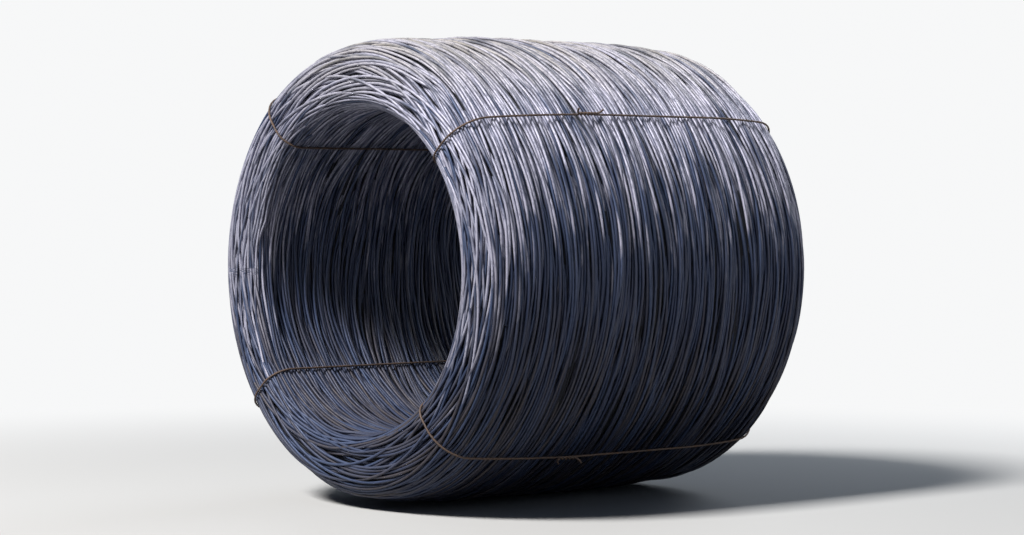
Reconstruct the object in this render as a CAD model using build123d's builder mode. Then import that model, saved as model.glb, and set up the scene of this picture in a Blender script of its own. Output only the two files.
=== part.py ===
"""A coil of hot-rolled wire rod, lying on its side, held by four twisted wire ties.

The rod's turns are packed into one thick ring. The ring is a single turned solid: a barrel-shaped outside
with a level crest right of the middle, a straight eye, and two rounded ends on which the turns show as
rings. Each tie is one length of thinner wire. It runs along the outside, over both ends and back through
the eye, and its two ends are twisted together on the outside and cut off short.

Lengths are in millimetres. X is the coil's axis, Z is up, and the origin is the middle of the eye.
"""

import os
from math import cos, pi, sin, sqrt

from build123d import *

# The ring of turns
coil_length = 1140.0
eye_d = 850.0
crest_d = 1260.0
left_drop = 30.0
right_drop = 22.0
crest_left_x = -70.0
crest_right_x = 250.0
shoulder_r = 95.0
eye_edge_r = 60.0

# The turns that show on each end, as rings that each step down to the next
ring_count = 7
step_depth = 5.0
step_run = 6.0

# The ties
tie_d = 5.5
tie_sides = 6
tie_count = 4
first_tie_angle = 140.0
tie_clearance = 0.3
tie_proud_in_eye = 1.0
channel_clearance = 0.35

# The twist that closes each tie, and its two cut ends
knot_x = -165.0
twist_length = 60.0
twist_turns = 2.5
points_per_turn = 6
strand_gap = 0.2
lead_length = 8.0
tail_run = 9.0
tail_lean = 3.0
tail_rise = 17.0

# Worked out from the sizes above
left_x = -coil_length / 2
right_x = coil_length / 2
crest_r = crest_d / 2
eye_r = eye_d / 2
left_r = crest_r - left_drop
right_r = crest_r - right_drop
left_shoulder_r = min(shoulder_r, 0.9 * (left_r - eye_r - eye_edge_r))
right_shoulder_r = min(shoulder_r, 0.9 * (right_r - eye_r - eye_edge_r))
tie_r = tie_d / 2
stand_off = tie_r + tie_clearance


def barrel_outline(grown, inner_r):
    """Half section of the ring grown outwards by this much, with rounded ends and its inner side at inner_r."""
    left = (left_x - grown, left_r + grown)
    right = (right_x + grown, right_r + grown)
    with BuildLine() as outline:
        crest = Line((crest_left_x, crest_r + grown), (crest_right_x, crest_r + grown))
        TangentArc(crest @ 0, left, tangent=(-1, 0))
        TangentArc(crest @ 1, right, tangent=(1, 0))
        Polyline(left, (left[0], inner_r), (right[0], inner_r), right)
        fillet(outline.vertices().sort_by(Axis.Y)[:2], eye_edge_r + grown)
        fillet(outline.vertices().sort_by_distance(left)[0], left_shoulder_r + grown)
        fillet(outline.vertices().sort_by_distance(right)[0], right_shoulder_r + grown)
    return outline


def ring_line(end_edges):
    """Points down one rounded end from flank to eye, two for each step from one ring of turns to the next."""
    outline = Wire(end_edges)
    from_flank = (outline @ 0).Y > (outline @ 1).Y
    wall_middle = Vector(0, (crest_r + eye_r) / 2, 0)
    points = []
    for ring in range(ring_count):
        for offset, depth in ((0, 0), (step_run / outline.length, step_depth)):
            share = ring / ring_count + offset
            place = share if from_flank else 1 - share
            inward = Vector(-(outline % place).Y, (outline % place).X, 0)
            if inward.dot(wall_middle - outline @ place) < 0:
                inward = -inward
            points.append(outline @ place + inward * depth)
    points.append(outline @ (1 if from_flank else 0))
    return points


smooth = barrel_outline(0.0, eye_r)
left_end = smooth.edges().filter_by(lambda edge: edge.center().X < left_x + shoulder_r)
right_end = smooth.edges().filter_by(lambda edge: edge.center().X > right_x - shoulder_r)
flanks = smooth.edges().filter_by(GeomType.CIRCLE).sort_by(lambda edge: edge.radius)[-2:].sort_by(Axis.X)
left_rings = ring_line(left_end)
right_rings = ring_line(right_end)

with BuildPart() as coil:
    with BuildSketch(Plane.XY):
        with BuildLine():
            Polyline(
                flanks[0] @ 0.5,
                (crest_left_x, crest_r),
                (crest_right_x, crest_r),
                flanks[1] @ 0.5,
                *right_rings,
                *reversed(left_rings),
                close=True,
            )
        make_face()
    revolve(axis=Axis.X)

# A tie's wire follows the same outline a little further out, with its run through the eye bedded in
tie_eye_r = eye_r - tie_proud_in_eye + tie_r
around = barrel_outline(stand_off, tie_eye_r).edges()
left_run = around.filter_by(GeomType.CIRCLE).sort_by(lambda edge: edge.radius)[-2:].sort_by(Axis.X)[0]
eye_run = around.sort_by(lambda edge: edge.center().Y)[:3]

# The twist lies on the left flank, level with the surface under it
past_crest = crest_left_x - knot_x
level_reach = sqrt(left_run.radius**2 - past_crest**2)
knot_plane = Plane(
    origin=(knot_x, crest_r + stand_off - left_run.radius + level_reach, 0),
    x_dir=(level_reach, past_crest, 0),
    z_dir=(0, 0, 1),
)
twist_r = (tie_r + strand_gap / 2) / cos(pi / points_per_turn)
twist_steps = round(points_per_turn * twist_turns)
strand = [(-twist_length / 2 - lead_length / 2, 0, 0)]
for step in range(twist_steps + 1):
    turned = pi + 2 * pi * step / points_per_turn
    along = twist_length * (step / twist_steps - 1 / 2)
    strand.append((along, twist_r * (1 + cos(turned)), twist_r * sin(turned)))
tail_x, tail_y, tail_z = strand[-1]
strand.append((tail_x + tail_run, tail_y + tail_rise / 3, tail_z))
strand.append((tail_x + tail_run + tail_lean, tail_y + tail_rise, tail_z))

# The other strand is the same one turned half round, so it comes in from the right
left_strand = [knot_plane.from_local_coords(point) for point in strand]
right_strand = [knot_plane.from_local_coords((-along, up, -across)) for along, up, across in strand]
left_lead = knot_plane.from_local_coords((-twist_length / 2 - lead_length, 0, 0))
right_lead = knot_plane.from_local_coords((twist_length / 2 + lead_length, 0, 0))

with BuildLine() as loop_line:
    add([edge for edge in around if edge is not left_run])
    Polyline(right_strand[0], right_lead, (crest_left_x, crest_r + stand_off))
    RadiusArc(tuple(left_run.vertices().sort_by(Axis.X)[0]), left_lead, left_run.radius)
    Line(left_lead, left_strand[0])


def wire_along(path, corners):
    """One length of the tie's wire along this path, its flats kept square to the plane of the loop."""
    with BuildPart() as length:
        with BuildSketch(Plane(origin=path @ 0, x_dir=(0, 0, 1), z_dir=path % 0)):
            RegularPolygon(tie_r, tie_sides)
        sweep(path=path, transition=corners)
    return length.part


with BuildPart() as tie:
    add(wire_along(loop_line.wires()[0], Transition.TRANSFORMED))
    add(wire_along(Wire.make_polygon(left_strand, close=False), Transition.RIGHT))
    add(wire_along(Wire.make_polygon(right_strand, close=False), Transition.RIGHT))

# Each tie is bedded in a channel along the eye, which stands in for the dips between turns
channel_line = Wire(eye_run)
with BuildPart() as channel:
    with BuildSketch(Plane(origin=channel_line @ 0, x_dir=(0, 0, 1), z_dir=channel_line % 0)):
        Rectangle(tie_d + 2 * channel_clearance, tie_d + 2 * channel_clearance)
    sweep(path=channel_line)

tie_angles = [first_tie_angle - 360 * number / tie_count for number in range(tie_count)]
with BuildPart() as rod_coil:
    add(coil.part)
    for angle in tie_angles:
        add(Rot(angle, 0, 0) * channel.part, mode=Mode.SUBTRACT)

print("coil", round(rod_coil.part.volume), rod_coil.part.is_valid, "tie", round(tie.part.volume), tie.part.is_valid)
os.makedirs("parts", exist_ok=True)
rod_coil.part.label = "rod_coil"
export_step(rod_coil.part, "parts/rod_coil.step")
for number, angle in enumerate(tie_angles, start=1):
    with BuildPart() as placed_tie:
        add(Rot(angle, 0, 0) * tie.part)
    placed_tie.part.label = f"tie_{number}"
    export_step(placed_tie.part, f"parts/tie_{number}.step")
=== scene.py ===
"""A coil of hot-rolled wire rod, wound turn by turn over its frame, with its four twisted wire ties."""

from math import asin, cos, pi, radians, sin, sqrt

import bpy
import numpy as np
from mathutils import Matrix, Vector


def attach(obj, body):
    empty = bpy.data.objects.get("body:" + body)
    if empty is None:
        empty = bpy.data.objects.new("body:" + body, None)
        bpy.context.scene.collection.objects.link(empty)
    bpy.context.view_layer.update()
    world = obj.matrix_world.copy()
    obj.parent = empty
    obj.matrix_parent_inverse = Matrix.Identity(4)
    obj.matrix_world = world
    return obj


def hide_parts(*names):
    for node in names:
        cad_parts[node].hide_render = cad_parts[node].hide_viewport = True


bl_info = {
    "name": "Wire Rod Coil",
    "version": (1, 0, 0),
    "blender": (4, 5, 0),
    "location": "3D View > Sidebar > Rod Coil",
    "description": "Winds a coil of hot-rolled wire rod and its twisted wire ties",
    "category": "Add Mesh",
}

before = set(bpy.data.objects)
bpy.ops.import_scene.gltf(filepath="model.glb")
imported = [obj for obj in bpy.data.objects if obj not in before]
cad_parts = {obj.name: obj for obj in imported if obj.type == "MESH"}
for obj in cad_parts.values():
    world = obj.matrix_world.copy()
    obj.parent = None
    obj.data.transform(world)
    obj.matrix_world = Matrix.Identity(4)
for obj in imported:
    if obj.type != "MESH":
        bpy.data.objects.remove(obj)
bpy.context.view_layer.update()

MM = 0.001

# The coil's outline, in millimetres, the same as the solid it replaces
LEFT_X = -570.0
RIGHT_X = 570.0
EYE_R = 425.0
CREST_R = 630.0
CREST_LEFT_X = -70.0
CREST_RIGHT_X = 250.0
LEFT_DROP = 30.0
RIGHT_DROP = 22.0
SHOULDER_R = 95.0
EYE_EDGE_R = 60.0

# The ties' lines, in millimetres and degrees
TIE_ANGLES = (140.0, 50.0, -40.0, -130.0)
TIE_EYE_R = 426.75
TIE_STAND_OFF = 2.6
KNOT_X = -165.0

# From a tie's twist to its long run, and its cut ends as steps along, up and across, in millimetres
TIE_LEAD = 24.0
TIE_TAIL = ((4.0, 1.5, 0.3), (8.0, 5.5, 0.8), (10.0, 11.0, 1.2), (11.0, 16.5, 1.5))

# How a ring is thrown down: the way round from one ring to the next, in radians, the share of the throw
# that a ring falls short by, and the spread of its size and its waves, in millimetres
THROW_STEP = 0.61
THROW_LOSS = 0.09
MOST_THROW_LOSS = 0.25
RING_SPREAD = 2.0
RING_WAVES = ((2, 2.0), (3, 1.5))

# The heap's cells, in millimetres, the share of the rod's thickness within which a turn rests on another,
# and how far a ring sags between such places, in millimetres a round
CELL = 2.0
CELL_MARGIN = 12.0
CELLS_PER_STATION = 6
EMPTY_CELL = -1e9
REST_REACH = 0.98
SAG = 0.5
SAG_ROUNDS = 60

# How the heap's top and foot are found, in bands across it and sectors round it
HEAP_BANDS = 14
HEAP_SECTORS = 18

# How far the turns give way to a tie, in millimetres, and how far beside it, in degrees
TIE_BITE = 1.0
TIE_BITE_IN_EYE = 5.5
TIE_BITE_WIDTH = 3.0

# How turns are evened out once laid, and how touching ones are pushed apart, in millimetres and shares
LAID_EASE = 10
NEIGHBOURS = 25
LEAST_WAY_ALONG = 0.3
CROSSING_SLOPE = 2.0
MOST_PUSH = 6.0
PUSH_SHARE = 0.9
PUSH_EASE = 6

# The shortest stretch that is drawn, in stations, how far its ends dive past the core's surface, in
# millimetres, the share of that for the next point, and the ways in from outside, eye, left and right end
SHORTEST_RUN = 4
DIVE_PAST_CORE = 1.0
DIVE_BESIDE = 0.3
INWARDS = ((0, -1), (0, 1), (1, 0), (-1, 0))
TURN_PIECES = 5

# How finely the section, the core and the ties are drawn
END_ARC_POINTS = 10
CORE_OUTSIDE_POINTS = 20
CORE_EYE_POINTS = 12
CORE_STEPS = 96
TIE_LEFT_POINTS = 12
TIE_EYE_POINTS = 10
TIE_RIGHT_POINTS = 20
TWIST_POINTS_PER_TURN = 12

# How near two points count as one, in metres, the share of a map column that a flat takes, and how far
# along the map's last row the flat ends find their spot
SAME_POINT = 1e-6
FLAT_SHARE = 0.96
CAP_SHARE = 0.1

# How fast the mill scale's patterns change along the rod, round it and from turn to turn
TURNS_APART = (1.0, 1.0, 173.0)
STRETCH_SCALE = (5.0, 0.8, 1.0)
FLAKE_SCALE = (60.0, 5.0, 1.0)
SPREAD_SCALE = (1.7, 0.5, 3.1)

# The wave scale that puts the core's grooves 8 mm apart, as turns are, and how far they wander, in metres
CORE_BANDS = 39.0
CORE_WANDER = 0.03

# Where the scale is dusty and has painted warm sunlight on the crest, is rusty and darkened by painted
# shade lower down, and is pale with painted sunlight, by height on the coil as it lies, in metres. The ends
# past the flanks and some stretches of turns count as higher, so that the painted sunlight reaches further
# down them, over the lit shoulders and in streaks below the line of shade
DUST_AND_LIT_CREST_HEIGHTS = (0.42, 0.63)
RUST_AND_SHADE_HEIGHTS = (0.15, -0.35)
SUNLIT_HEIGHTS = (0.76, 0.9)
FLANKS_END = 0.45
SUNLIT_END_LIFT = 3.0
SUNLIT_STRETCH_LIFT = 1.2

# Pairs of a noise value and how much of the pale painted sunlight, the rust, the dust or the flakes shows
# there, the same for the painted shade in the core's grooves and the ties' spots, and the span that most
# noise values lie in
SUNLIT_STRETCHES = ((0.36, 0.0), (0.54, 1.0))
BROWN_PATCHES = ((0.42, 0.0), (0.62, 0.8))
DUSTY_PATCHES = ((0.35, 0.15), (0.65, 0.75))
DARK_FLAKES = ((0.5, 0.0), (0.72, 0.75))
CORE_SHADED_GROOVES = ((0.0, 1.0), (0.6, 0.0))
TIE_DARK_PATCHES = ((0.35, 0.0), (0.65, 1.0))
TIE_BRIGHT_SPOTS = ((0.5, 0.0), (0.7, 0.8))
NOISE_SPAN = (0.3, 0.7)

# Colours of the core, painted as shade, the tie's spots, the light that the floor throws back, the
# background and the sky
CORE_DEEP_SHADE = (0.014, 0.018, 0.032)
CORE_SOFT_SHADE = (0.036, 0.04, 0.058)
CORE_GROOVE_SHADE = (0.004, 0.004, 0.005)
TIE_DARK_RUST = (0.085, 0.062, 0.055)
TIE_BRIGHT_RUST = (0.22, 0.13, 0.08)
FLOOR_BOUNCE = (0.06, 0.06, 0.062)
BACKGROUND = (0.93, 0.935, 0.94, 1.0)
SKY = (0.62, 0.78, 1.0, 1.0)
SKY_STRENGTH = 0.05

# The floor's size, and where it fades into the background, in metres
FLOOR_R = 60.0
FLOOR_FADE = (1.3, 3.6)


class RodSettings(bpy.types.PropertyGroup):
    """The rod, and how its turns lie."""

    diameter: bpy.props.FloatProperty(
        name="Rod diameter",
        description="Thickness of the hot-rolled rod",
        default=0.008,
        min=0.005,
        max=0.014,
        unit="LENGTH",
    )
    turns: bpy.props.IntProperty(
        name="Turns",
        description="How many turns are laid down in the coil",
        default=1300,
        min=200,
        max=2000,
    )
    stations: bpy.props.IntProperty(
        name="Stations",
        description="How many points each turn has round the coil",
        default=144,
        min=72,
        max=216,
    )
    spread: bpy.props.FloatProperty(
        name="Spread",
        description="How unevenly the turns are thrown down",
        default=0.25,
        min=0.0,
        max=1.0,
    )
    packing: bpy.props.FloatProperty(
        name="Packing",
        description="Share of the turns, in percent, that is pressed flat against each end",
        default=1.2,
        min=0.1,
        max=10.0,
        subtype="PERCENTAGE",
    )
    skin: bpy.props.FloatProperty(
        name="Skin depth",
        description="How deep under the surface the turns are made",
        default=0.025,
        min=0.012,
        max=0.06,
        unit="LENGTH",
    )
    core_depth: bpy.props.FloatProperty(
        name="Core depth",
        description="How deep under the surface the core lies that the deepest turns are sunk in",
        default=0.02,
        min=0.01,
        max=0.05,
        unit="LENGTH",
    )
    rounds: bpy.props.IntProperty(
        name="Settling rounds",
        description="How many times touching turns are pushed apart",
        default=10,
        min=0,
        max=40,
    )
    seed: bpy.props.IntProperty(
        name="Seed",
        description="Another number lays the turns another way",
        default=7,
        min=0,
    )
    scale_colour: bpy.props.FloatVectorProperty(
        name="Mill scale",
        description="Colour of the blue-grey mill scale",
        subtype="COLOR",
        size=3,
        min=0.0,
        max=1.0,
        default=(0.048, 0.074, 0.155),
    )
    # The pale scale is painted sunlight, laid on the coil's upper side
    sunlit_scale_colour: bpy.props.FloatVectorProperty(
        name="Pale scale",
        description="Colour where the mill scale is thin and shines",
        subtype="COLOR",
        size=3,
        min=0.0,
        max=1.0,
        default=(0.46, 0.46, 0.58),
    )
    dark_colour: bpy.props.FloatVectorProperty(
        name="Dark scale",
        description="Colour of the thickest mill scale",
        subtype="COLOR",
        size=3,
        min=0.0,
        max=1.0,
        default=(0.015, 0.027, 0.072),
    )
    # First rust is also the colour of the painted shade that darkens and browns the coil's lower side
    rust_and_shade_colour: bpy.props.FloatVectorProperty(
        name="First rust",
        description="Colour of the thin brown bloom of rust",
        subtype="COLOR",
        size=3,
        min=0.0,
        max=1.0,
        default=(0.06, 0.049, 0.05),
    )
    # The dust is also painted warm sunlight on the coil's crest
    dust_and_lit_crest_colour: bpy.props.FloatVectorProperty(
        name="Dust",
        description="Colour of the thin dust that lies along the coil's top",
        subtype="COLOR",
        size=3,
        min=0.0,
        max=1.0,
        default=(0.47, 0.43, 0.36),
    )


class TieSettings(bpy.types.PropertyGroup):
    """The ties' wire and twist."""

    diameter: bpy.props.FloatProperty(
        name="Tie wire",
        description="Thickness of the tie wire",
        default=0.0055,
        min=0.003,
        max=0.007,
        unit="LENGTH",
    )
    twist_length: bpy.props.FloatProperty(
        name="Twist length",
        description="Length of the twist that closes a tie",
        default=0.06,
        min=0.03,
        max=0.12,
        unit="LENGTH",
    )
    twist_turns: bpy.props.FloatProperty(
        name="Twist turns",
        description="How often the two strands go round each other",
        default=2.5,
        min=1.5,
        max=5.5,
    )
    colour: bpy.props.FloatVectorProperty(
        name="Tie rust",
        description="Colour of the rusty tie wire",
        subtype="COLOR",
        size=3,
        min=0.0,
        max=1.0,
        default=(0.13, 0.09, 0.072),
    )


class StudioSettings(bpy.types.PropertyGroup):
    """The floor, the light and the camera."""

    floor_colour: bpy.props.FloatVectorProperty(
        name="Floor",
        description="Colour of the floor and the background",
        subtype="COLOR",
        size=3,
        min=0.0,
        max=1.0,
        default=(0.62, 0.625, 0.63),
    )
    azimuth: bpy.props.FloatProperty(
        name="Azimuth",
        description="Direction from which the camera sees the coil",
        default=radians(-41.0),
        subtype="ANGLE",
        unit="ROTATION",
    )
    elevation: bpy.props.FloatProperty(
        name="Elevation",
        description="Height of the camera above the level",
        default=radians(1.4),
        subtype="ANGLE",
        unit="ROTATION",
    )
    distance: bpy.props.FloatProperty(
        name="Distance",
        description="Distance from the camera to the middle of the coil",
        default=7.45,
        min=2.0,
        unit="LENGTH",
    )
    lens: bpy.props.FloatProperty(
        name="Lens",
        description="Focal length in millimetres",
        default=95.0,
        min=20.0,
        max=300.0,
        unit="CAMERA",
    )
    key_power: bpy.props.FloatProperty(
        name="Key light",
        description="Power of the lamp that lights the coil from its upper left",
        default=2950.0,
        min=0.0,
        unit="POWER",
    )


def flank_arc(end_x, crest_x, drop):
    """Radius of the arc that falls from the crest to this end of the barrel."""
    reach = abs(end_x - crest_x)
    return (reach**2 + drop**2) / (2 * drop)


def shoulder_centre(end_x, crest_x, drop):
    """Radius at which the centre of a shoulder's arc lies, where it runs on from the flank's arc."""
    arc_r = flank_arc(end_x, crest_x, drop)
    along = abs(end_x - crest_x) - SHOULDER_R
    return CREST_R - arc_r + sqrt((arc_r - SHOULDER_R) ** 2 - along**2)


LEFT_ARC_R = flank_arc(LEFT_X, CREST_LEFT_X, LEFT_DROP)
RIGHT_ARC_R = flank_arc(RIGHT_X, CREST_RIGHT_X, RIGHT_DROP)
LEFT_SHOULDER = shoulder_centre(LEFT_X, CREST_LEFT_X, LEFT_DROP)
RIGHT_SHOULDER = shoulder_centre(RIGHT_X, CREST_RIGHT_X, RIGHT_DROP)


def flank(x):
    """The barrel's radius at x, with the rounded shoulders left out."""
    past_left = np.clip(CREST_LEFT_X - x, 0, None)
    past_right = np.clip(x - CREST_RIGHT_X, 0, None)
    left_fall = LEFT_ARC_R - np.sqrt(LEFT_ARC_R**2 - past_left**2)
    right_fall = RIGHT_ARC_R - np.sqrt(RIGHT_ARC_R**2 - past_right**2)
    return CREST_R - left_fall - right_fall


def end_depth(r, centre, inset):
    """How far in from an end's flat middle its rounded shoulder and eye edge lie at this radius."""
    shoulder, edge = SHOULDER_R - inset, EYE_EDGE_R - inset
    past_shoulder = np.clip(r - centre, 0, shoulder)
    past_edge = np.clip(EYE_R + EYE_EDGE_R - r, 0, edge)
    depth = shoulder - np.sqrt(shoulder**2 - past_shoulder**2)
    return depth + edge - np.sqrt(edge**2 - past_edge**2)


def ends_at(r, inset):
    """The left and right limits of the section at this radius."""
    left = LEFT_X + inset + end_depth(r, LEFT_SHOULDER, inset)
    right = RIGHT_X - inset - end_depth(r, RIGHT_SHOULDER, inset)
    return left, right


def end_line(side, grown, eye_r):
    """Points down one end of the section grown by this much, from the flank round to the eye."""
    arc_r, crest_x, centre = RIGHT_ARC_R, CREST_RIGHT_X, RIGHT_SHOULDER
    if side < 0:
        arc_r, crest_x, centre = LEFT_ARC_R, CREST_LEFT_X, LEFT_SHOULDER
    lean = asin((abs(side * RIGHT_X - crest_x) - SHOULDER_R) / (arc_r - SHOULDER_R))
    line = []
    for turned in np.linspace(lean, pi / 2, END_ARC_POINTS):
        along = RIGHT_X - SHOULDER_R + (SHOULDER_R + grown) * sin(turned)
        line.append((side * along, centre + (SHOULDER_R + grown) * cos(turned)))
    for turned in np.linspace(pi / 2, 0, END_ARC_POINTS):
        along = RIGHT_X - EYE_EDGE_R + (EYE_EDGE_R + grown) * sin(turned)
        line.append((side * along, EYE_R + EYE_EDGE_R - (EYE_R + EYE_EDGE_R - eye_r) * cos(turned)))
    return line


def flank_line(start, stop, grown, points):
    """Points along the barrel grown by this much, from one x to another."""
    return [(x, float(flank(x)) + grown) for x in np.linspace(start, stop, points)]


def eye_line(start, stop, eye_r, points):
    """Points along the eye at this radius, from one x to another."""
    return [(x, eye_r) for x in np.linspace(start, stop, points)]


def throw_ring(angles, towards, inner, outer, rng):
    """The radius, at these angles, of one ring thrown off centre towards this angle."""
    middle, throw = (outer + inner) / 2, (outer - inner) / 2
    off = throw * (1 - min(MOST_THROW_LOSS, abs(rng.normal(0, THROW_LOSS))))
    size = middle + rng.normal(0, RING_SPREAD)
    around = angles - towards
    r = off * np.cos(around) + np.sqrt(size**2 - (off * np.sin(around)) ** 2)
    for count, rise in RING_WAVES:
        r += rise * np.cos(count * angles + rng.uniform(0, 2 * pi))
    return np.clip(r, inner, outer)


def rest_height(heap, column, near, rod_d):
    """How high the turns on the heap hold up a new ring at every angle."""
    rows = np.arange(len(near))
    rest = np.zeros(len(near))
    beside = int(REST_REACH * rod_d / CELL)
    for step in range(-beside, beside + 1):
        aside = np.abs(near + step - column) * CELL
        lift = np.sqrt(np.maximum(rod_d * rod_d - aside * aside, 0.0))
        on_top = heap[rows, near + step] + lift
        rest = np.maximum(rest, np.where(aside < REST_REACH * rod_d, on_top, 0.0))
    return rest


def sagged(rest):
    """The height of a stiff ring that lies on these heights and sags a little between them."""
    z = rest.copy()
    for _ in range(SAG_ROUNDS):
        z = np.maximum(rest, (np.roll(z, 1) + np.roll(z, -1)) / 2 - SAG)
    return z


def lay_turns(rod, rng):
    """Drops the turns one by one on a heap, each ring off centre and resting on the ones under it.

    Returns each turn's radius and height on the heap at every station round the coil.
    """
    rod_d = rod.diameter / MM
    inner, outer = EYE_R + rod_d / 2, CREST_R - rod_d / 2
    stations = np.linspace(0, 2 * pi, rod.stations, endpoint=False)
    angles = np.linspace(0, 2 * pi, rod.stations * CELLS_PER_STATION, endpoint=False)
    columns = int((outer - inner + 2 * CELL_MARGIN) / CELL) + 2
    heap = np.full((len(angles), columns), EMPTY_CELL)
    rows = np.arange(len(angles))
    radius = np.zeros((rod.turns, rod.stations))
    height = np.zeros((rod.turns, rod.stations))
    towards = 0.0
    for turn in range(rod.turns):
        towards += THROW_STEP + rng.normal(0, rod.spread)
        r = throw_ring(angles, towards, inner, outer, rng)
        column = (r - inner + CELL_MARGIN) / CELL
        near = np.rint(column).astype(int)
        rest = rest_height(heap, column, near, rod_d)
        z = sagged(rest.reshape(rod.stations, CELLS_PER_STATION).max(axis=1))
        smooth_z = np.interp(angles, np.append(stations, 2 * pi), np.append(z, z[0]))
        heap[rows, near] = np.maximum(heap[rows, near], smooth_z)
        radius[turn] = r[::CELLS_PER_STATION]
        height[turn] = z
    return radius, height


def round_corner(p, q):
    """Moves points of a square corner, 0 to 1 each way, evenly into its quarter circle."""
    reach = np.maximum(p, q)
    share = np.minimum(p, q) / np.maximum(reach, 1e-9)
    turn = np.where(q > p, pi / 2 - share * pi / 4, share * pi / 4)
    return reach * np.cos(turn), reach * np.sin(turn)


def heap_surface(rod, share, height, percent):
    """How high the heap's top or foot is at every point, found in cells across and round the heap."""
    in_band = np.clip((share * HEAP_BANDS).astype(int), 0, HEAP_BANDS - 1)
    in_sector = np.arange(rod.stations) * HEAP_SECTORS // rod.stations
    cells = np.zeros((HEAP_SECTORS, HEAP_BANDS))
    for band in range(HEAP_BANDS):
        for sector in range(HEAP_SECTORS):
            here = in_sector == sector
            part = height[:, here][in_band[:, here] == band]
            cells[sector, band] = np.percentile(part if len(part) else height[in_band == band], percent)
    # Neighbouring sectors are evened out twice
    for _ in range(2):
        cells = (np.roll(cells, 1, 0) + 2 * cells + np.roll(cells, -1, 0)) / 4
    centres = (np.arange(HEAP_BANDS) + 0.5) / HEAP_BANDS
    middles = (np.arange(HEAP_SECTORS) + 0.5) * rod.stations / HEAP_SECTORS
    surface = np.zeros_like(height)
    for station in range(rod.stations):
        row = [np.interp(station, middles, around, period=rod.stations) for around in cells.T]
        surface[:, station] = np.interp(share[:, station], centres, row)
    return surface


def press(rod, radius, height):
    """Presses the heap into the coil's section, with level ends, round shoulders and a barrel outside.

    Returns x and radius, stations by turns.
    """
    half = rod.diameter / MM / 2
    inner, outer = EYE_R + half, CREST_R - half
    share = (radius - inner) / (outer - inner)
    top = heap_surface(rod, share, height, 100 - rod.packing)
    foot = heap_surface(rod, share, height, rod.packing)
    level = np.clip((height - foot) / (top - foot), 0, 1)
    x = LEFT_X + half + level * (RIGHT_X - LEFT_X - 2 * half)
    r = inner + share * (flank(x) - half - inner)
    end = RIGHT_X - half
    for size, outside in ((SHOULDER_R - half, True), (EYE_EDGE_R - half, False)):
        for side in (-1, 1):
            # How far along and outwards each point lies in the corner's square
            p = (side * x - end + size) / size
            q = (r - flank(x) + half + size if outside else inner + size - r) / size
            corner = (p > 0) & (q > 0)
            in_p, in_q = round_corner(np.clip(p, 0, 1), np.clip(q, 0, 1))
            new_x = side * (end - size + size * in_p)
            new_r = flank(new_x) - half - size + size * in_q if outside else inner + size - size * in_q
            x, r = np.where(corner, new_x, x), np.where(corner, new_r, r)
    return x.T.copy(), r.T.copy()


def ease(values, times):
    """Evens values out along each turn, as a stiff rod does."""
    for _ in range(times):
        beside = np.roll(values, 1, 0) + np.roll(values, -1, 0)
        further = np.roll(values, 2, 0) + np.roll(values, -2, 0)
        values = (6 * values + 4 * beside + further) / 16
    return values


def hold(rod, x, r):
    """Keeps every turn inside the coil's outline, and clear of the ties."""
    half = rod.diameter / MM / 2
    angles = np.linspace(0, 360, rod.stations, endpoint=False)[:, None]
    bite = np.zeros_like(angles)
    for tie_angle in TIE_ANGLES:
        apart = np.abs((angles - tie_angle + 180) % 360 - 180)
        bite = np.maximum(bite, np.exp(-((apart / TIE_BITE_WIDTH) ** 2)))
    r = np.clip(r, EYE_R + half + TIE_BITE_IN_EYE * bite, flank(x) - half - TIE_BITE * bite)
    left, right = ends_at(r, half)
    return np.clip(x, left + TIE_BITE * bite, right - TIE_BITE * bite), r


def settle(rod, x, r):
    """Pushes turns that run through each other apart, mostly along the coil, as they were laid."""
    rod_d = rod.diameter / MM
    for _ in range(rod.rounds):
        order = np.argsort(x, axis=1)
        sorted_x = np.take_along_axis(x, order, 1)
        sorted_r = np.take_along_axis(r, order, 1)
        slope = np.take_along_axis((np.roll(r, -1, 0) - np.roll(r, 1, 0)) / 2, order, 1)
        push_x = np.zeros_like(x)
        push_r = np.zeros_like(x)
        for step in range(1, NEIGHBOURS + 1):
            dx = sorted_x[:, step:] - sorted_x[:, :-step]
            dr = sorted_r[:, step:] - sorted_r[:, :-step]
            lack = np.maximum(rod_d - np.sqrt(dx * dx + dr * dr), 0.0)
            # Turns that cross each other give way along the coil rather than in or out
            crossing = slope[:, step:] - slope[:, :-step]
            way_x = np.maximum(dx, LEAST_WAY_ALONG)
            way_r = dr / (1 + (crossing / CROSSING_SLOPE) ** 2)
            size = np.sqrt(way_x**2 + way_r**2)
            for push, way in ((push_x, way_x), (push_r, way_r)):
                move = lack * way / size / 2
                push[:, step:] += move
                push[:, :-step] -= move
        for values, push in ((x, push_x), (r, push_r)):
            back = np.zeros_like(push)
            np.put_along_axis(back, order, np.clip(push, -MOST_PUSH, MOST_PUSH), 1)
            values += PUSH_SHARE * ease(back, PUSH_EASE)
        x, r = hold(rod, x, r)
    return x, r


def depths_under(rod, x, r):
    """How deep turns lie under the coil's outside, its eye, its left end and its right end."""
    half = rod.diameter / MM / 2
    left, right = ends_at(r, half)
    return flank(x) - half - r, r - EYE_R - half, x - left, right - x


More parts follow.
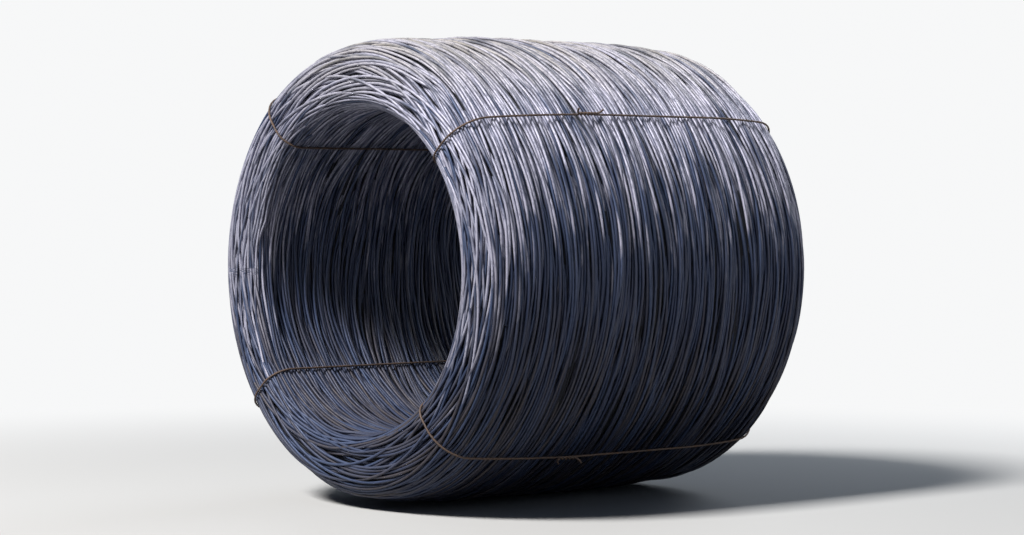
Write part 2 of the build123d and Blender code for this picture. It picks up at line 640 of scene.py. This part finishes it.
def seen_runs(rod, x, r):
    """The stretches of each turn that lie near the coil's surface, as (turn, first station, length)."""
    depth = np.minimum.reduce(depths_under(rod, x, r))
    near = depth < rod.skin / MM - rod.diameter / MM / 2
    # Each stretch gets a station more at both ends, and gaps of one station are closed
    near |= np.roll(near, 1, 0) | np.roll(near, -1, 0)
    near |= np.roll(near, 1, 0) & np.roll(near, -1, 0)
    runs = []
    for turn in range(x.shape[1]):
        seen = near[:, turn]
        if seen.all():
            runs.append((turn, 0, rod.stations + 1))
            continue
        starts = np.flatnonzero(seen & ~np.roll(seen, 1))
        stops = np.flatnonzero(seen & ~np.roll(seen, -1))
        for start in starts:
            length = int(np.min((stops - start) % rod.stations)) + 1
            if length >= SHORTEST_RUN:
                runs.append((turn, int(start), length))
    return runs


def share_out(runs):
    """The runs in groups of about the same length in all, one group for each piece."""
    share = sum(length for turn, start, length in runs) / TURN_PIECES
    groups, filled = [[]], 0
    for run in runs:
        if filled > share * len(groups) and len(groups) < TURN_PIECES:
            groups.append([])
        groups[-1].append(run)
        filled += run[2]
    return groups


def dive(rod, x, r):
    """Leads both ends of an open run down into the core, where the rod goes on out of sight."""
    x, r = x.copy(), r.copy()
    for end, beside in ((0, 1), (-1, -2)):
        depths = depths_under(rod, x[end], r[end])
        nearest = int(np.argmin(depths))
        way_x, way_r = INWARDS[nearest]
        goal = rod.core_depth / MM + rod.diameter / MM / 2 + DIVE_PAST_CORE
        lack = max(0.0, goal - float(depths[nearest]))
        x[end] += way_x * lack
        r[end] += way_r * lack
        x[beside] += way_x * lack * DIVE_BESIDE
        r[beside] += way_r * lack * DIVE_BESIDE
    return x, r


def run_line(rod, x, r, run):
    """One run's points in metres, a whole turn as a closed ring, or a stretch with its ends led down."""
    turn, start, length = run
    at = np.arange(start, start + length) % rod.stations
    angles = np.linspace(0, 2 * pi, rod.stations, endpoint=False)[at]
    x, r = x[at, turn], r[at, turn]
    if length <= rod.stations:
        x, r = dive(rod, x, r)
    return np.stack((x, r * np.cos(angles), r * np.sin(angles))).T * MM


def map_strips(lines, columns):
    """Room on the map for every line, as strips of (row, first column, length), and the number of rows."""
    strips = []
    row, column = 0, 0
    for line in lines:
        strips.append([])
        left = len(line) - 1
        while left:
            length = min(columns - column, left)
            strips[-1].append((row, column, length))
            left -= length
            column += length
            if column >= columns:
                row, column = row + 1, 0
    return strips, row + 1


def strip_corners(strip, sides, columns, rows):
    """Where one strip's flats have their corners on the map, a column a step and a row for the girth."""
    row, column, length = strip
    u0 = (column + np.arange(length))[:, None] / columns
    v0 = (row + (np.arange(sides)[None, :] + 0.5) / (sides + 1)) / rows
    u1, v1 = u0 + FLAT_SHARE / columns, v0 + 1 / (sides + 1) / rows
    u0, v0, u1, v1 = (np.broadcast_to(edge, (length, sides)) for edge in (u0, v0, u1, v1))
    return np.stack((u0, v0, u0, v1, u1, v1, u1, v0), axis=2).reshape(-1)


def bar_rings(line, closed, radius, sides):
    """Corners of a bar round this line of points, one ring of them at every point."""
    ahead = np.gradient(line, axis=0)
    if closed:
        ahead[0] = ahead[-1] = line[1] - line[-2]
    ahead /= np.linalg.norm(ahead, axis=1)[:, None]
    out = line * (0.0, 1.0, 1.0)
    out -= (out * ahead).sum(axis=1)[:, None] * ahead
    out /= np.linalg.norm(out, axis=1)[:, None]
    side = np.cross(ahead, out)
    turned = (2 * pi * (np.arange(sides) + 0.5) / sides + pi)[None, :, None]
    return line[:, None] + radius * (out[:, None] * np.cos(turned) + side[:, None] * np.sin(turned))


def bar_ways(line, tone, rings, sides):
    """For every corner of a bar, the way along it in metres, the way round it from 0 to 1, and its tone."""
    along = np.append(0.0, np.cumsum(np.linalg.norm(np.diff(line, axis=0), axis=1)))
    ways = np.zeros((rings, sides, 3))
    ways[:, :, 0] = along[:rings, None]
    ways[:, :, 1] = np.arange(sides) / sides
    ways[:, :, 2] = tone
    return ways.reshape(-1, 3)


def bar_flats(steps, rings, sides):
    """The four corners of every flat of a bar, as numbers in one row."""
    step = np.arange(steps)[:, None]
    edge = np.arange(sides)[None, :]
    here, there = step * sides, ((step + 1) % rings) * sides
    beside = (edge + 1) % sides
    return np.stack((here + edge, here + beside, there + beside, there + edge), axis=2).reshape(-1)


def plain_mesh(name, places, faces, sizes):
    """A mesh from its corners' places, its faces' corner numbers in one row, and each face's size."""
    mesh = bpy.data.meshes.new(name)
    mesh.vertices.add(len(places))
    mesh.vertices.foreach_set("co", places.astype(np.float32).ravel())
    mesh.loops.add(len(faces))
    mesh.loops.foreach_set("vertex_index", faces.astype(np.int32))
    mesh.polygons.add(len(sizes))
    mesh.polygons.foreach_set("loop_start", (np.cumsum(sizes) - sizes).astype(np.int32))
    mesh.polygons.foreach_set("loop_total", sizes.astype(np.int32))
    mesh.update(calc_edges=True)
    return mesh


def tube_mesh(name, lines, tones, radius, sides=6):
    """One mesh of round bars along these lines of points, in metres.

    Each bar has flat ends, its own strips of the map, and an attribute that holds the way along it, the way
    round it and a tone of its own. A line whose ends meet is a closed ring.
    """
    total = sum(len(line) for line in lines)
    columns = max(4, int(sqrt(total * sides / (sides + 1))))
    strips, rows = map_strips(lines, columns)
    cap_spot = np.array([CAP_SHARE / columns, (rows - 0.5) / rows])
    places, ways, faces, sizes, smooth, maps = [], [], [], [], [], []
    first = 0
    for line, tone, own_strips in zip(lines, tones, strips):
        steps = len(line) - 1
        closed = np.linalg.norm(line[0] - line[-1]) < SAME_POINT
        rings = steps if closed else steps + 1
        places.append(bar_rings(line, closed, radius, sides)[:rings].reshape(-1, 3))
        ways.append(bar_ways(line, tone, rings, sides))
        faces.append(bar_flats(steps, rings, sides) + first)
        sizes.append(np.full(steps * sides, 4))
        smooth.append(np.ones(steps * sides, bool))
        maps.extend(strip_corners(strip, sides, columns, rows) for strip in own_strips)
        if not closed:
            faces.append(np.arange(sides)[::-1] + first)
            faces.append(np.arange(sides) + first + steps * sides)
            sizes.append(np.full(2, sides))
            smooth.append(np.zeros(2, bool))
            maps.append(np.tile(cap_spot, 2 * sides))
        first += rings * sides
    mesh = plain_mesh(name, np.concatenate(places), np.concatenate(faces), np.concatenate(sizes))
    mesh.polygons.foreach_set("use_smooth", np.concatenate(smooth))
    mesh.uv_layers.new(name="OFBake").data.foreach_set("uv", np.concatenate(maps).astype(np.float32))
    strand = mesh.attributes.new("strand", "FLOAT_VECTOR", "POINT")
    strand.data.foreach_set("vector", np.concatenate(ways).astype(np.float32).ravel())
    mesh.update()
    return mesh


def new_object(name, mesh):
    """Puts a mesh in the scene as a piece that rides with the coil."""
    piece = bpy.data.objects.new(name, mesh)
    bpy.context.collection.objects.link(piece)
    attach(piece, "root")
    return piece


def node_adder(owner):
    """A short way to add a node to a material or the world and set its values and links."""
    owner.use_nodes = True
    tree = owner.node_tree
    tree.nodes.clear()

    def add(kind, values=(), **settings):
        node = tree.nodes.new(kind)
        for key, value in settings.items():
            setattr(node, key, value)
        for key, value in dict(values).items():
            if isinstance(value, bpy.types.NodeSocket):
                tree.links.new(value, node.inputs[key])
            else:
                node.inputs[key].default_value = value
        return node

    return add


def worked_out(add, operation, *values):
    """The result of one reckoning with these values, each a socket or a number."""
    return add("ShaderNodeMath", dict(enumerate(values)), operation=operation).outputs[0]


def scaled(add, vector, factors):
    """A vector with each of its parts multiplied by its own factor."""
    return add("ShaderNodeVectorMath", {0: vector, 1: factors}, operation="MULTIPLY").outputs[0]


def distance(add, place, axes):
    """How far a place lies from the origin, along the axes that are 1."""
    flat = scaled(add, place, axes)
    return add("ShaderNodeVectorMath", {0: flat}, operation="LENGTH").outputs["Value"]


def noise(add, vector, scale, detail, roughness=0.5):
    """Cloudy noise over this vector, from 0 to 1."""
    values = {"Vector": vector, "Scale": scale, "Detail": detail, "Roughness": roughness}
    return add("ShaderNodeTexNoise", values).outputs[0]


def spanned(add, value, limits, low=0.0, high=1.0, **settings):
    """A value carried over so that these two limits become low and high."""
    values = {"Value": value, "From Min": limits[0], "From Max": limits[1], "To Min": low, "To Max": high}
    return add("ShaderNodeMapRange", values, **settings).outputs[0]


def ramp(add, factor, stops):
    """A grey value that goes from the first (place, value) stop to the second."""
    node = add("ShaderNodeValToRGB", {0: factor})
    for element, (place, value) in zip(node.color_ramp.elements, stops):
        element.position = place
        element.color = (value, value, value, 1.0)
    return node.outputs[0]


def blend_colours(add, factor, first, second):
    """The mix of two colours, each a socket or a colour."""
    values = {0: factor}
    for index, value in ((6, first), (7, second)):
        is_socket = isinstance(value, bpy.types.NodeSocket)
        values[index] = value if is_socket else (*value[:3], 1.0)
    return add("ShaderNodeMix", values, data_type="RGBA").outputs[2]


def relief(add, height, strength, depth):
    """Fine relief of this depth, in metres, that follows a height from 0 to 1."""
    return add("ShaderNodeBump", {"Height": height, "Strength": strength, "Distance": depth}).outputs[0]


def steel_surface(add, base, roughness, metallic, bump):
    """Gives a material its shader and its output."""
    values = {"Base Color": base, "Roughness": roughness, "Metallic": metallic, "Normal": bump}
    shader = add("ShaderNodeBsdfPrincipled", values)
    add("ShaderNodeOutputMaterial", {"Surface": shader.outputs[0]})


def seen_directly(add):
    """1 for what the camera sees itself, in a gloss or through glass, and 0 for light on other things."""
    path = add("ShaderNodeLightPath").outputs
    shown = worked_out(add, "MAXIMUM", path["Is Camera Ray"], path["Is Glossy Ray"])
    return worked_out(add, "MAXIMUM", shown, path["Is Transmission Ray"])


def rod_material(rod):
    """Blue-grey mill scale with a dull sheen, flaked and browned a little differently on every turn, with
    painted sunlight on its upper side and crest, and painted shade mixed with rust on its lower side.
    """
    material = bpy.data.materials.new("mill_scale_rod")
    add = node_adder(material)
    strand = add("ShaderNodeAttribute", attribute_name="strand").outputs["Vector"]
    tone = add("ShaderNodeSeparateXYZ", {0: strand}).outputs[2]
    apart = scaled(add, strand, TURNS_APART)
    stretch = noise(add, scaled(add, apart, STRETCH_SCALE), scale=1.0, detail=3.0)
    flake = noise(add, scaled(add, apart, FLAKE_SCALE), scale=1.0, detail=4.0, roughness=0.6)
    spread = noise(add, scaled(add, apart, SPREAD_SCALE), scale=1.0, detail=3.0)

    place = add("ShaderNodeTexCoord").outputs["Object"]
    where = add("ShaderNodeSeparateXYZ", {0: place}).outputs
    # Painted sunlight: pale scale on the upper side by height, reaching further down the ends and, in
    # streaks, down single stretches of turns, where the light and its ragged line of shade fell
    past_flank = worked_out(add, "SUBTRACT", worked_out(add, "ABSOLUTE", where[0]), FLANKS_END)
    past_flank = worked_out(add, "MAXIMUM", past_flank, 0.0)
    height = worked_out(add, "MULTIPLY_ADD", past_flank, SUNLIT_END_LIFT, where[2])
    reach = worked_out(add, "MULTIPLY_ADD", stretch, SUNLIT_STRETCH_LIFT, height)
    upper = spanned(add, reach, SUNLIT_HEIGHTS, low=0.03)
    pale = worked_out(add, "MULTIPLY", ramp(add, stretch, SUNLIT_STRETCHES), upper)
    # Rust and painted shade: the brown bloom grows towards the bottom, darkening the lower side where shade
    # falls
    rust_and_shade_height = spanned(add, where[2], RUST_AND_SHADE_HEIGHTS, low=0.1, high=1.1)
    bloom_and_painted_shade = worked_out(add, "MULTIPLY", ramp(add, spread, BROWN_PATCHES), rust_and_shade_height)
    # Dust on the top, which is also painted warm sunlight on the crest
    dust_and_lit_crest_height = spanned(add, where[2], DUST_AND_LIT_CREST_HEIGHTS)
    dust_and_lit_crest = worked_out(add, "MULTIPLY", ramp(add, spread, DUSTY_PATCHES), dust_and_lit_crest_height)

    base = blend_colours(add, tone, rod.dark_colour, rod.scale_colour)
    base = blend_colours(add, pale, base, rod.sunlit_scale_colour)
    base = blend_colours(add, bloom_and_painted_shade, base, rod.rust_and_shade_colour)
    base = blend_colours(add, dust_and_lit_crest, base, rod.dust_and_lit_crest_colour)
    base = blend_colours(add, ramp(add, flake, DARK_FLAKES), base, rod.dark_colour)
    rough = spanned(add, flake, NOISE_SPAN, low=0.46, high=0.64)
    bump = relief(add, flake, strength=0.15, depth=0.0005)
    steel_surface(add, base, rough, metallic=0.25, bump=bump)
    return material


def core_material():
    """Turns deep in the coil, near black as painted shade, grooved along the turns, with darker painted
    shade in the grooves.
    """
    material = bpy.data.materials.new("shaded_deep_turns")
    add = node_adder(material)
    place = add("ShaderNodeTexCoord").outputs["Object"]
    along = add("ShaderNodeSeparateXYZ", {0: place}).outputs[0]
    over = worked_out(add, "ADD", along, distance(add, place, (0, 1, 1)))
    wander = noise(add, place, scale=4.0, detail=2.0)
    over = worked_out(add, "MULTIPLY_ADD", wander, CORE_WANDER, over)
    lanes = add("ShaderNodeCombineXYZ", {0: over}).outputs[0]
    wave = add("ShaderNodeTexWave", {"Vector": lanes, "Scale": CORE_BANDS}, bands_direction="X")
    bands = wave.outputs["Fac"]
    # Painted shade: the core is near black, and blacker still in the grooves between its turns
    base = blend_colours(add, noise(add, place, scale=9.0, detail=3.0), CORE_DEEP_SHADE, CORE_SOFT_SHADE)
    base = blend_colours(add, ramp(add, bands, CORE_SHADED_GROOVES), base, CORE_GROOVE_SHADE)
    bump = relief(add, bands, strength=1.0, depth=0.004)
    steel_surface(add, base, 0.6, metallic=0.4, bump=bump)
    return material


def tie_material(tie):
    """Rusty soft wire, with darker and brighter spots."""
    material = bpy.data.materials.new("rusty_tie_wire")
    add = node_adder(material)
    place = add("ShaderNodeTexCoord").outputs["Object"]
    spots = noise(add, place, scale=160.0, detail=4.0)
    broad = noise(add, place, scale=14.0, detail=2.0)
    base = blend_colours(add, ramp(add, broad, TIE_DARK_PATCHES), tie.colour, TIE_DARK_RUST)
    base = blend_colours(add, ramp(add, spots, TIE_BRIGHT_SPOTS), base, TIE_BRIGHT_RUST)
    rough = spanned(add, spots, NOISE_SPAN, low=0.5, high=0.8)
    bump = relief(add, spots, strength=0.4, depth=0.0004)
    steel_surface(add, base, rough, metallic=0.35, bump=bump)
    return material


def floor_material(studio):
    """Pale floor that fades into the background and throws little light back on the coil."""
    material = bpy.data.materials.new("pale_floor")
    add = node_adder(material)
    place = add("ShaderNodeTexCoord").outputs["Object"]
    far = distance(add, place, (1, 1, 0))
    fade = spanned(add, far, FLOOR_FADE, interpolation_type="SMOOTHSTEP")
    shown = seen_directly(add)
    faded = worked_out(add, "MULTIPLY", shown, fade)
    surface = blend_colours(add, shown, FLOOR_BOUNCE, studio.floor_colour)
    shader = add("ShaderNodeBsdfDiffuse", {"Color": surface})
    glow = add("ShaderNodeEmission", {"Color": BACKGROUND})
    mix = add("ShaderNodeMixShader", {0: faded, 1: shader.outputs[0], 2: glow.outputs[0]})
    add("ShaderNodeOutputMaterial", {"Surface": mix.outputs[0]})
    return material


def studio_world():
    """The world: dim sky light on the coil, and a plain pale background behind it."""
    world = bpy.data.worlds.new("studio")
    add = node_adder(world)
    dim = add("ShaderNodeBackground", {"Color": SKY, "Strength": SKY_STRENGTH})
    pale = add("ShaderNodeBackground", {"Color": BACKGROUND})
    mix = add("ShaderNodeMixShader", {0: seen_directly(add), 1: dim.outputs[0], 2: pale.outputs[0]})
    add("ShaderNodeOutputWorld", {"Surface": mix.outputs[0]})
    return world


class RODCOIL_OT_wind_turns(bpy.types.Operator):
    """Winds the turns of rod that show on the coil's outside, ends and eye"""

    bl_idname = "rodcoil.wind_turns"
    bl_label = "Wind the turns"

    def execute(self, context):
        rod = context.scene.rod_settings
        rng = np.random.default_rng(rod.seed)
        radius, height = lay_turns(rod, rng)
        x, r = press(rod, radius, height)
        x, r = hold(rod, ease(x, LAID_EASE), r)
        x, r = settle(rod, x, r)
        runs = seen_runs(rod, x, r)
        if not runs:
            raise RuntimeError("no turn lies near the coil's surface")
        tones = rng.uniform(0, 1, rod.turns)
        material = rod_material(rod)
        for number, group in enumerate(share_out(runs), start=1):
            name = f"turns_{number}"
            lines = [run_line(rod, x, r, run) for run in group]
            own_tones = [tones[turn] for turn, start, length in group]
            mesh = tube_mesh(name, lines, own_tones, rod.diameter / 2)
            mesh.materials.append(material)
            piece = new_object(name, mesh)
            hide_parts("rod_coil")
        return {"FINISHED"}


class RODCOIL_OT_make_core(bpy.types.Operator):
    """Turns the body of turns that lie deeper in the coil, dark as painted shade"""

    bl_idname = "rodcoil.make_core"
    bl_label = "Make the core"

    def execute(self, context):
        inset = context.scene.rod_settings.core_depth / MM
        eye_r = EYE_R + inset
        left = end_line(-1, -inset, eye_r)
        right = end_line(1, -inset, eye_r)
        outline = left[::-1]
        outline += flank_line(left[0][0], right[0][0], -inset, CORE_OUTSIDE_POINTS)[1:-1]
        outline += right
        outline += eye_line(right[-1][0], left[-1][0], eye_r, CORE_EYE_POINTS)[1:-1]
        bpy.ops.object.select_all(action="DESELECT")
        bpy.ops.mesh.primitive_circle_add(vertices=len(outline), radius=0.1)
        piece = context.object
        piece.name = piece.data.name = "shaded_deep_turns"
        for vertex, (along, up) in zip(piece.data.vertices, outline):
            vertex.co = (along * MM, 0.0, up * MM)
        bpy.ops.object.mode_set(mode="EDIT")
        bpy.ops.mesh.select_all(action="SELECT")
        bpy.ops.mesh.spin(steps=CORE_STEPS, angle=2 * pi, center=(0, 0, 0), axis=(1, 0, 0))
        bpy.ops.mesh.select_all(action="SELECT")
        bpy.ops.mesh.remove_doubles(threshold=0.0002)
        bpy.ops.mesh.normals_make_consistent(inside=False)
        bpy.ops.object.mode_set(mode="OBJECT")
        bpy.ops.object.shade_smooth_by_angle(angle=radians(40))
        if len(piece.data.polygons) < CORE_STEPS * len(outline):
            raise RuntimeError("the core was not turned all the way round")
        piece.data.materials.append(core_material())
        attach(piece, "root")
        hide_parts("rod_coil")
        return {"FINISHED"}


def tie_outline(reach):
    """The tie's line round the section, from one side of its twist by the ends to the other."""
    left = end_line(-1, TIE_STAND_OFF, TIE_EYE_R)
    right = end_line(1, TIE_STAND_OFF, TIE_EYE_R)
    line = flank_line(KNOT_X - reach, left[0][0], TIE_STAND_OFF, TIE_LEFT_POINTS)[:-1]
    line += left
    line += eye_line(left[-1][0], right[-1][0], TIE_EYE_R, TIE_EYE_POINTS)[1:-1]
    line += right[::-1]
    line += flank_line(right[0][0], KNOT_X + reach, TIE_STAND_OFF, TIE_RIGHT_POINTS)[1:]
    return line


def twist_strand(tie):
    """One of the twist's strands and its cut end, as points along, up and across the twist's own line."""
    half = tie.twist_length / MM / 2
    wire_r = tie.diameter / MM / 2
    steps = int(TWIST_POINTS_PER_TURN * tie.twist_turns)
    points = []
    for step in range(steps + 1):
        turned = pi + 2 * pi * tie.twist_turns * step / steps
        along = -half + 2 * half * step / steps
        points.append((along, wire_r * (1 + cos(turned)), wire_r * sin(turned)))
    end_along, end_up, end_across = points[-1]
    for along, up, across in TIE_TAIL:
        points.append((end_along + along, end_up + up, end_across + across))
    return points


def tie_loop(tie):
    """A whole tie from one cut end to the other, as points along the coil, out from its axis and across."""
    rise = float(flank(KNOT_X)) + TIE_STAND_OFF
    slope = float(flank(KNOT_X + 1) - flank(KNOT_X - 1)) / 2
    strand = twist_strand(tie)
    one_end = [(KNOT_X + along, rise + slope * along + up, across) for along, up, across in strand]
    other_end = [(KNOT_X - along, rise - slope * along + up, -across) for along, up, across in strand]
    outline = tie_outline(tie.twist_length / MM / 2 + TIE_LEAD)
    return one_end[::-1] + [(along, up, 0.0) for along, up in outline] + other_end


class RODCOIL_OT_make_ties(bpy.types.Operator):
    """Bends the four tie wires round the coil and twists their ends together"""

    bl_idname = "rodcoil.make_ties"
    bl_label = "Make the ties"

    def execute(self, context):
        tie = context.scene.tie_settings
        material = tie_material(tie)
        loop = tie_loop(tie)
        for number, angle in enumerate(TIE_ANGLES, start=1):
            turn = Matrix.Rotation(radians(angle - 90), 4, "X")
            curve = bpy.data.curves.new(f"tied_wire_{number}", "CURVE")
            curve.dimensions = "3D"
            curve.bevel_depth = tie.diameter / 2
            curve.bevel_resolution = 2
            curve.use_fill_caps = True
            spline = curve.splines.new("POLY")
            spline.points.add(len(loop) - 1)
            for point, (along, up, across) in zip(spline.points, loop):
                place = turn @ Vector((along * MM, -across * MM, up * MM))
                point.co = (*place, 1.0)
            spline.use_smooth = True
            piece = bpy.data.objects.new(f"tied_wire_{number}", curve)
            context.collection.objects.link(piece)
            bpy.ops.object.select_all(action="DESELECT")
            piece.select_set(True)
            context.view_layer.objects.active = piece
            bpy.ops.object.convert(target="MESH")
            piece = context.object
            if piece.type != "MESH" or not piece.data.polygons:
                raise RuntimeError(f"tie {number} was not made a mesh")
            piece.data.materials.clear()
            piece.data.materials.append(material)
            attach(piece, "root")
            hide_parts(f"tie_{number}")
        return {"FINISHED"}


def lay_floor(studio):
    """Lays the round floor that the coil lies on."""
    bpy.ops.object.select_all(action="DESELECT")
    bpy.ops.mesh.primitive_circle_add(
        vertices=96, radius=FLOOR_R, fill_type="NGON", location=(0, 0, -CREST_R * MM)
    )
    floor = bpy.context.object
    floor.name = "floor"
    bpy.ops.object.transform_apply(location=True, rotation=True, scale=True)
    floor.data.materials.append(floor_material(studio))


def hang_lamps(studio, back, right):
    """Hangs the lamps, the key light by the coil itself and the others by where the camera stands."""
    up = Vector((0, 0, 1))
    # Each lamp's name, its place and size in metres, its power in watts and its colour
    lamps = (
        ("key", Vector((-9.4, 0.4, 10.5)), 3.2, studio.key_power, (1.0, 0.975, 0.94)),
        ("fill", right * 4.5 + back * 4.0 + up * 1.5, 3.0, 8.0, (0.7, 0.82, 1.0)),
        ("back", right * 3.0 - back * 4.5 + up * 2.5, 3.0, 120.0, (0.85, 0.92, 1.0)),
    )
    for name, place, size, power, colour in lamps:
        bpy.ops.object.select_all(action="DESELECT")
        bpy.ops.object.light_add(type="AREA", location=place)
        lamp = bpy.context.object
        lamp.name = name
        lamp.rotation_euler = (-place).to_track_quat("-Z", "Y").to_euler()
        lamp.data.size = size
        lamp.data.energy = power
        lamp.data.color = colour


class RODCOIL_OT_set_studio(bpy.types.Operator):
    """Lays the floor, hangs the lamps and sets up the camera"""

    bl_idname = "rodcoil.set_studio"
    bl_label = "Set the studio"

    def execute(self, context):
        scene = context.scene
        studio = scene.studio_settings
        scene.view_settings.view_transform = "Standard"
        azimuth, elevation = studio.azimuth, studio.elevation
        level, up = cos(elevation), sin(elevation)
        back = Vector((sin(azimuth) * level, -cos(azimuth) * level, up))
        right = Vector((cos(azimuth), sin(azimuth), 0))
        lay_floor(studio)
        scene.world = studio_world()
        hang_lamps(studio, back, right)
        camera_data = bpy.data.cameras.new("camera")
        camera = bpy.data.objects.new("camera", camera_data)
        context.collection.objects.link(camera)
        camera.location = back * studio.distance
        camera.rotation_euler = (-back).to_track_quat("-Z", "Y").to_euler()
        camera_data.lens = studio.lens
        camera_data.clip_end = 200.0
        scene.camera = camera
        return {"FINISHED"}


class RODCOIL_PT_panel(bpy.types.Panel):
    """The coil's steps and settings in the sidebar."""

    bl_label = "Wire Rod Coil"
    bl_idname = "RODCOIL_PT_panel"
    bl_space_type = "VIEW_3D"
    bl_region_type = "UI"
    bl_category = "Rod Coil"

    def draw(self, context):
        layout = self.layout
        for operator in OPERATORS:
            layout.operator(operator.bl_idname)
        for settings in (
            context.scene.rod_settings,
            context.scene.tie_settings,
            context.scene.studio_settings,
        ):
            box = layout.box()
            for name in settings.__annotations__:
                box.prop(settings, name)


OPERATORS = (
    RODCOIL_OT_wind_turns,
    RODCOIL_OT_make_core,
    RODCOIL_OT_make_ties,
    RODCOIL_OT_set_studio,
)
CLASSES = (RodSettings, TieSettings, StudioSettings, *OPERATORS, RODCOIL_PT_panel)


def register():
    """Registers the classes and gives the scene their settings."""
    for cls in CLASSES:
        bpy.utils.register_class(cls)
    bpy.types.Scene.rod_settings = bpy.props.PointerProperty(type=RodSettings)
    bpy.types.Scene.tie_settings = bpy.props.PointerProperty(type=TieSettings)
    bpy.types.Scene.studio_settings = bpy.props.PointerProperty(type=StudioSettings)


def unregister():
    """Takes the settings and the classes away again."""
    del bpy.types.Scene.studio_settings
    del bpy.types.Scene.tie_settings
    del bpy.types.Scene.rod_settings
    for cls in reversed(CLASSES):
        bpy.utils.unregister_class(cls)


def main():
    """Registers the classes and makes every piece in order."""
    register()
    bpy.ops.rodcoil.wind_turns()
    bpy.ops.rodcoil.make_core()
    bpy.ops.rodcoil.make_ties()
    bpy.ops.rodcoil.set_studio()


if __name__ == "__main__":
    main()
